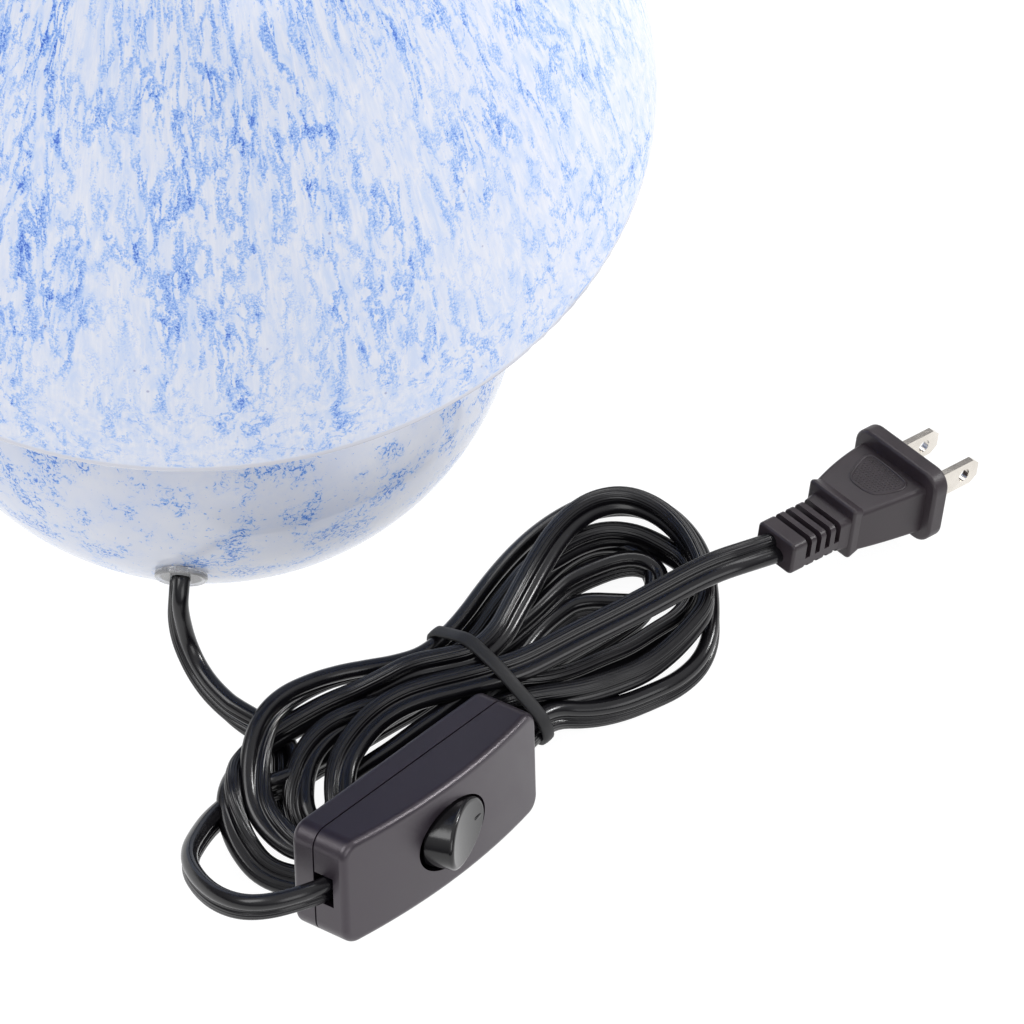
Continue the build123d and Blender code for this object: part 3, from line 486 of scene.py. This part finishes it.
# tie: a flat rubber band drawn round all the strands
WAIST = np.array([62.2, -86.8, 10.8]) * MM
AX = np.array([0.714, 0.70, 0.0]) / math.hypot(0.714, 0.70)
UU = np.array([0.70, -0.714, 0.0]) / math.hypot(0.70, 0.714)
near = []
for sk in (skin_a, skin_b):
    q = sk.reshape(-1, 3) - WAIST
    sel = (np.abs(q @ AX) < 2.0 * MM) & (np.abs(q @ UU) < 24 * MM)
    near.append(np.stack([(q @ UU)[sel], q[sel][:, 2] + WAIST[2]], 1))
near = np.vstack(near)
near = near[np.lexsort((near[:, 1], near[:, 0]))]


def half_hull(points):
    h = []
    for p in points:
        while len(h) > 1 and (h[-1][0] - h[-2][0]) * (p[1] - h[-2][1]) - (h[-1][1] - h[-2][1]) * (p[0] - h[-2][0]) <= 0:
            h.pop()
        h.append(p)
    return h[:-1]


hull = np.array(half_hull(near) + half_hull(near[::-1]))
closed = np.vstack([hull, hull[:1]])
run = np.r_[0, np.cumsum(np.linalg.norm(np.diff(closed, axis=0), axis=1))]
m = 120
even = np.linspace(0, run[-1], m + 1)[:-1]
loop = np.stack([np.interp(even, run, closed[:, i]) for i in range(2)], 1)
for _ in range(6):
    loop = 0.5 * loop + 0.25 * (np.roll(loop, 1, 0) + np.roll(loop, -1, 0))
tan = np.roll(loop, -1, 0) - np.roll(loop, 1, 0)
tan /= np.linalg.norm(tan, axis=1)[:, None]
nrm = np.stack([tan[:, 1], -tan[:, 0]], 1)
sec = [(-1.55, 0.3), (-1.35, 0.0), (1.35, 0.0), (1.55, 0.3), (1.55, 0.7), (1.3, 1.0), (0.5, 1.1), (-0.5, 1.1), (-1.3, 1.0), (-1.55, 0.7)]
verts, faces = [], []
for i in range(m):
    for a, h in sec:
        uz = loop[i] + nrm[i] * (h + 0.15) * MM
        pt = WAIST + UU * uz[0] + AX * a * MM
        verts.append((pt[0], pt[1], max(uz[1], 0.05 * MM)))
k = len(sec)
for i in range(m):
    for j in range(k):
        a, b = i * k + j, i * k + (j + 1) % k
        c, d = ((i + 1) % m) * k + (j + 1) % k, ((i + 1) % m) * k + j
        faces.append((a, d, c, b))
band = piece("tie_band", verts, faces, rubber)
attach(band, "lamp")
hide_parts("hank_band")

# ---------------------------------------------------------------------------
# moulded relief: grip pad on the plug, mark on the rocker
# ---------------------------------------------------------------------------
PX = np.array([0.7307, 0.6216, -0.2821])
PV = np.array([0.108, 0.3028, 0.9469])
PY = np.cross(PV, PX)
PC = np.array([156.37, -34.07, 10.49])
PAD = [(-5.7, 4.6), (-6.4, 6.0), (-8.0, 6.5), (-13.6, 4.5), (-15.3, 3.0), (-15.6, 0.0), (-15.2, -3.0), (-14.2, -4.6), (-9.5, -6.7),
       (-7.4, -6.4), (-6.2, -5.2)]


def plug_top(x):
    return float(np.interp(x, [-16.0, -14.0, -11.0, -8.0, -5.0], [4.52, 4.715, 4.97, 5.18, 5.34]))


def chaikin(pts, n):
    p = np.array(pts, float)
    for _ in range(n):
        q = np.roll(p, -1, 0)
        p = np.stack([0.75 * p + 0.25 * q, 0.25 * p + 0.75 * q], 1).reshape(-1, 2)
    return p


def inside(x, y, ring):
    c = False
    for (x0, y0), (x1, y1) in zip(ring, np.roll(ring, -1, 0)):
        if (y0 > y) != (y1 > y) and x < (x1 - x0) * (y - y0) / (y1 - y0) + x0:
            c = not c
    return c


ring = chaikin(PAD, 3)
t = np.roll(ring, -1, 0) - np.roll(ring, 1, 0)
t /= np.linalg.norm(t, axis=1)[:, None]
out = np.stack([t[:, 1], -t[:, 0]], 1)
bead = [(-0.42, -0.08), (-0.34, 0.12), (-0.14, 0.26), (0.14, 0.26), (0.34, 0.12), (0.42, -0.08)]
verts, faces = [], []
for p, o in zip(ring, out):
    for a, h in bead:
        x, y = p + o * a
        verts.append(tuple((PC + PX * x + PY * y + PV * (plug_top(x) + h)) * MM))
n, k = len(ring), len(bead)
for i in range(n):
    for j in range(k):
        a, b = i * k + j, i * k + (j + 1) % k
        c, d = ((i + 1) % n) * k + (j + 1) % k, ((i + 1) % n) * k + j
        faces.append((a, b, c, d))
for row in range(14):
    for col in range(17):
        x, y = -15.4 + 0.78 * row, -6.6 + 0.82 * col + 0.41 * (row % 2)
        if not inside(x, y, ring * [0.88, 0.88] - [1.25, 0.0]):
            continue
        b = len(verts)
        for rr, h in ((0.30, -0.06), (0.24, 0.10), (0.12, 0.16)):
            for j in range(8):
                g = math.tau * j / 8
                u, v = x + rr * math.cos(g), y + rr * math.sin(g)
                verts.append(tuple((PC + PX * u + PY * v + PV * (plug_top(u) + h)) * MM))
        for lev in range(2):
            for j in range(8):
                faces.append((b + lev * 8 + j, b + lev * 8 + (j + 1) % 8, b + lev * 8 + 8 + (j + 1) % 8, b + lev * 8 + 8 + j))
        faces.append(tuple(b + 16 + j for j in range(8)))
        faces.append(tuple(b + 7 - j for j in range(8)))
grip = piece("plug_grip_pad", verts, faces, plug_pvc)
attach(grip, "lamp")

dash = np.array([[60.3, -132.0, 24.2], [60.96, -130.84, 23.49], [61.6, -129.75, 22.87]])
dn = np.array([0.892, -0.405, 0.198])
verts, faces = [], []
sides = 10
steps = [(0.0, 0.12), (0.06, 0.30), (0.2, 0.42), (0.5, 0.45), (0.8, 0.42), (0.94, 0.30), (1.0, 0.12)]
for f, rad in steps:
    c = np.array([np.interp(f, [0, 0.5, 1], dash[:, i]) for i in range(3)])
    along = (dash[2] - dash[0]) / np.linalg.norm(dash[2] - dash[0])
    wide = np.cross(dn, along)
    for j in range(sides):
        g = math.tau * j / sides
        verts.append(tuple((c + wide * rad * math.cos(g) + dn * rad * 0.6 * math.sin(g)) * MM))
for i in range(len(steps) - 1):
    for j in range(sides):
        a, b = i * sides + j, i * sides + (j + 1) % sides
        faces.append((a, b, b + sides, a + sides))
faces.append(tuple(range(sides - 1, -1, -1)))
faces.append(tuple(range((len(steps) - 1) * sides, len(steps) * sides)))
mark_dash = piece("rocker_on_mark", verts, faces, rocker_plastic)
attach(mark_dash, "rocker")

# ---------------------------------------------------------------------------
# floor, light
# ---------------------------------------------------------------------------
fm = Mat("floor_white")
fm.set(Base_Color=(0.16, 0.16, 0.162, 1.0), Roughness=0.9, Emission_Color=(1.0, 1.0, 1.0, 1.0), Emission_Strength=0.94)
fm.b.inputs["Specular IOR Level"].default_value = 0.0
floor = piece("floor", [(-20, -20, 0), (20, -20, 0), (20, 20, 0), (-20, 20, 0)], [(0, 1, 2, 3)], fm, smooth=False)


def softbox(name, loc, target, size, power, size_y=None, color=(1, 1, 1)):
    d = bpy.data.lights.new(name, "AREA")
    d.energy = power
    d.color = color
    d.shape = "RECTANGLE"
    d.size, d.size_y = size, size_y or size
    o = bpy.data.objects.new(name, d)
    o.location = loc
    o.rotation_euler = (Vector(target) - Vector(loc)).to_track_quat("-Z", "Y").to_euler()
    o.visible_camera = False
    scene.collection.objects.link(o)
    return o


softbox("key", (-0.95, -0.25, 1.25), (0.03, -0.05, 0.05), 0.8, 8.0)
softbox("back", (0.25, 1.05, 1.15), (0.05, -0.05, 0.0), 1.2, 6.5, 0.5)
softbox("front", (0.75, -1.35, 1.0), (0.05, -0.08, 0.05), 1.0, 7.0)
softbox("side", (1.15, 0.32, 0.62), (0.05, -0.12, 0.02), 0.22, 6.0)

world = bpy.data.worlds.new("studio")
scene.world = world
world.use_nodes = True
wn = world.node_tree
wn.nodes.clear()
wo = wn.nodes.new("ShaderNodeOutputWorld")
bg = wn.nodes.new("ShaderNodeBackground")
tc = wn.nodes.new("ShaderNodeTexCoord")
sx = wn.nodes.new("ShaderNodeSeparateXYZ")
rp = wn.nodes.new("ShaderNodeValToRGB")
wn.links.new(tc.outputs["Generated"], sx.inputs[0])
wn.links.new(sx.outputs["Z"], rp.inputs[0])
el = rp.color_ramp.elements
el[0].position, el[0].color = 0.1, (0.13, 0.13, 0.145, 1)
el[1].position, el[1].color = 0.8, (0.85, 0.85, 0.87, 1)
wn.links.new(rp.outputs[0], bg.inputs[0])
bg.inputs[1].default_value = 0.9
pale = wn.nodes.new("ShaderNodeBackground")
pale.inputs[0].default_value = (0.96, 0.96, 0.965, 1)
lp = wn.nodes.new("ShaderNodeLightPath")
mx = wn.nodes.new("ShaderNodeMixShader")
wn.links.new(lp.outputs["Is Camera Ray"], mx.inputs[0])
wn.links.new(bg.outputs[0], mx.inputs[1])
wn.links.new(pale.outputs[0], mx.inputs[2])
wn.links.new(mx.outputs[0], wo.inputs[0])
